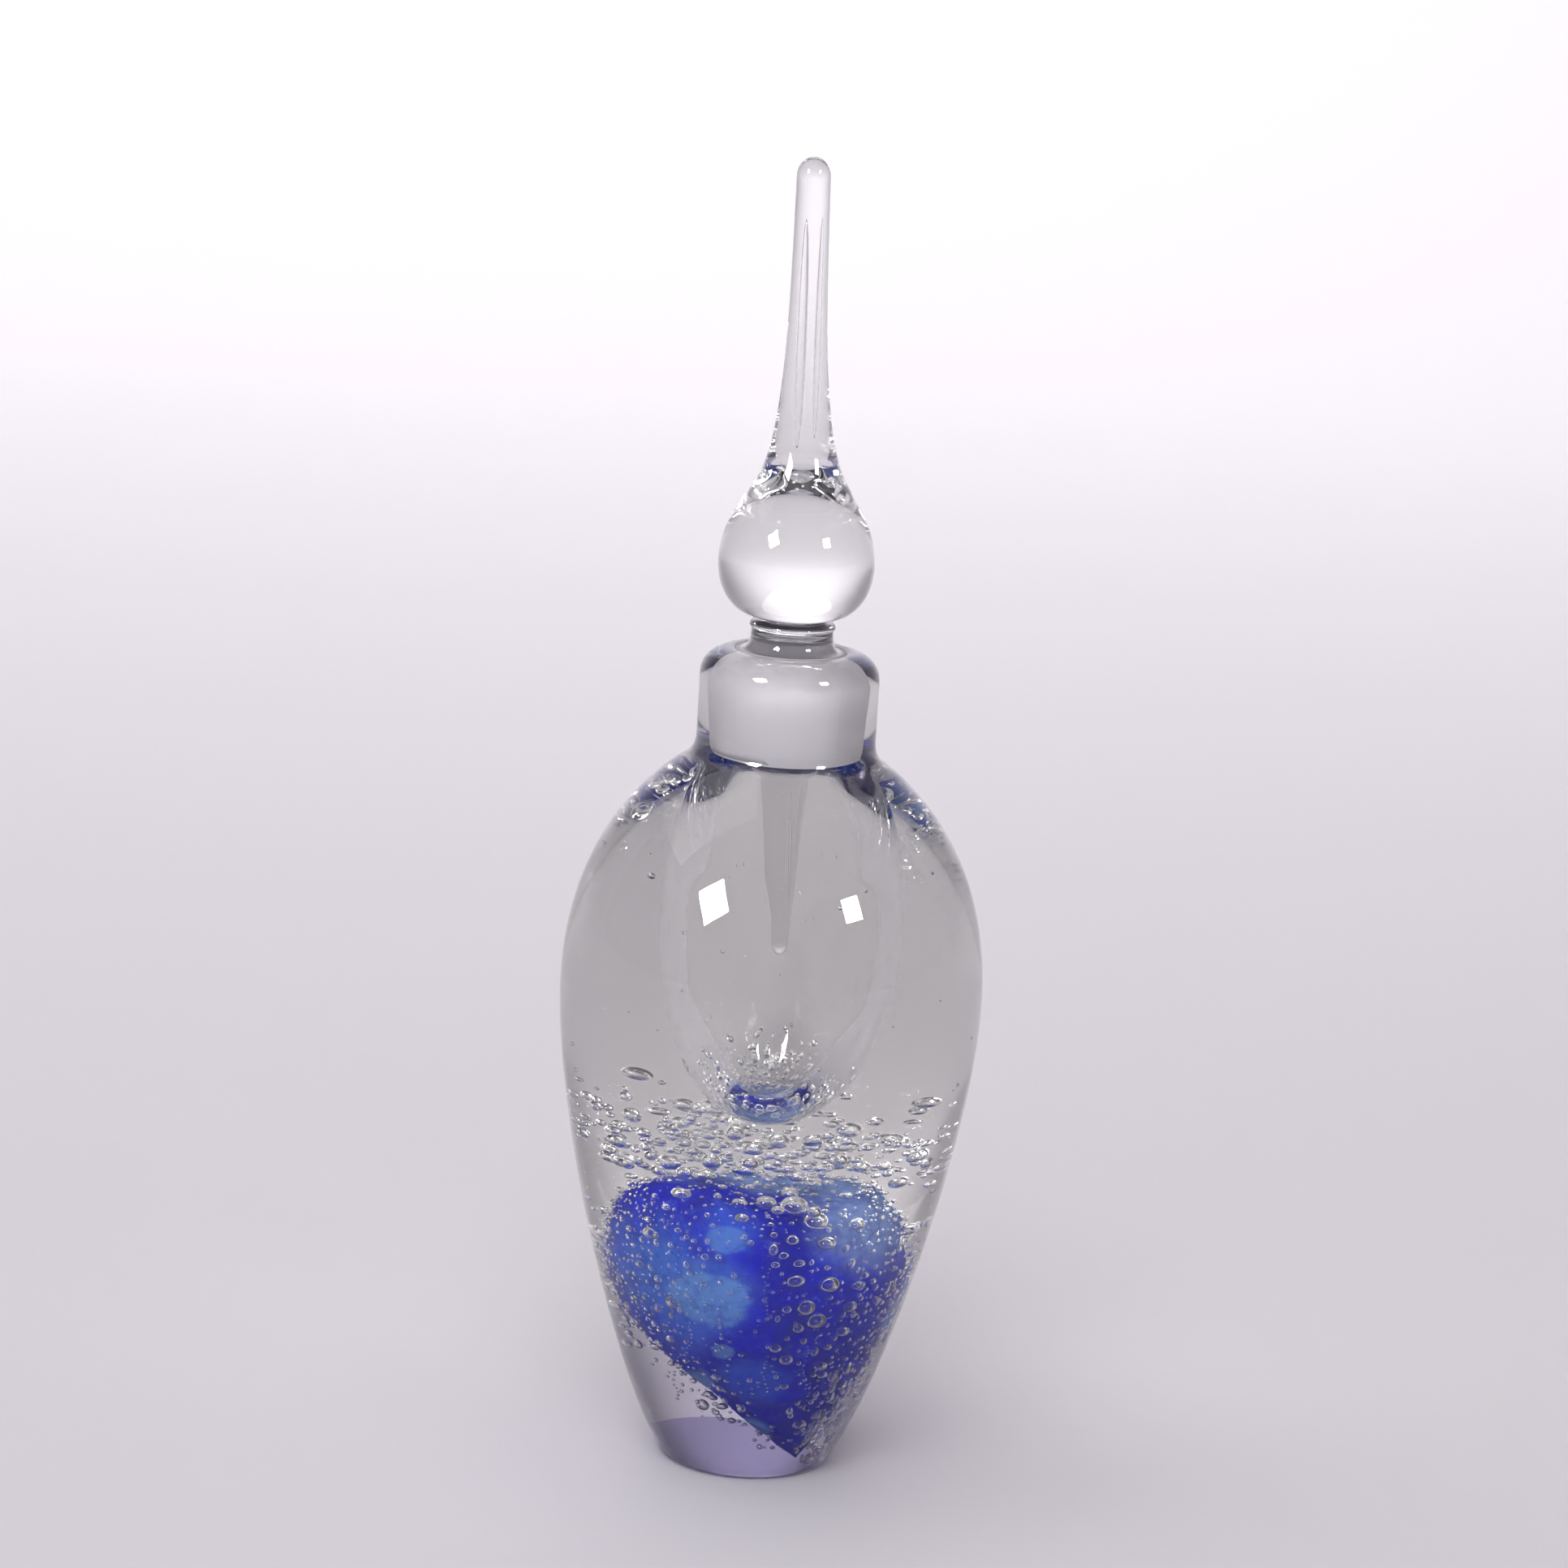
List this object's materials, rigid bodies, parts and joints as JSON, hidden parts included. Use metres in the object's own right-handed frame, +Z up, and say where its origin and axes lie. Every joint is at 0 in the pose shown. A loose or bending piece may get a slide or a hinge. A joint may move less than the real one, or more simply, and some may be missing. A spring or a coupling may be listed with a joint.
{
  "type": "stoppered perfume bottle",
  "caption": "Thick clear ovoid glass perfume bottle with a leaning blue core, a small inner well, a ground neck and a ball-and-spire stopper with a dauber that lifts out.",
  "frame": {"origin": "centre of the flat ground base, on the surface the bottle stands on", "axes": "+Z up along the bottle's axis; the blue core's tip is offset towards +X and the spire leans towards -X"},
  "size_m": [0.057, 0.057, 0.1776],
  "materials": {
    "clear_glass": "polished",
    "blue_glass": "polished",
    "ground_glass": "frosted"
  },
  "bodies": {
    "bottle": {"blue_core": "blue_glass", "veil_gather": "clear_glass", "well_vessel": "clear_glass", "outer_casing": "clear_glass", "neck_collar": "clear_glass"},
    "stopper": {"ground_plug": "ground_glass", "dauber": "clear_glass", "stopper_collar": "clear_glass", "bead_ring": "clear_glass", "ball_knop": "clear_glass", "spire_finial": "clear_glass"}
  },
  "joints": [
    {"name": "stopper_lift", "type": "slide", "parent": "bottle", "child": "stopper", "axis": [0, 0, 1], "range_m": [0, 0.05]}
  ]
}
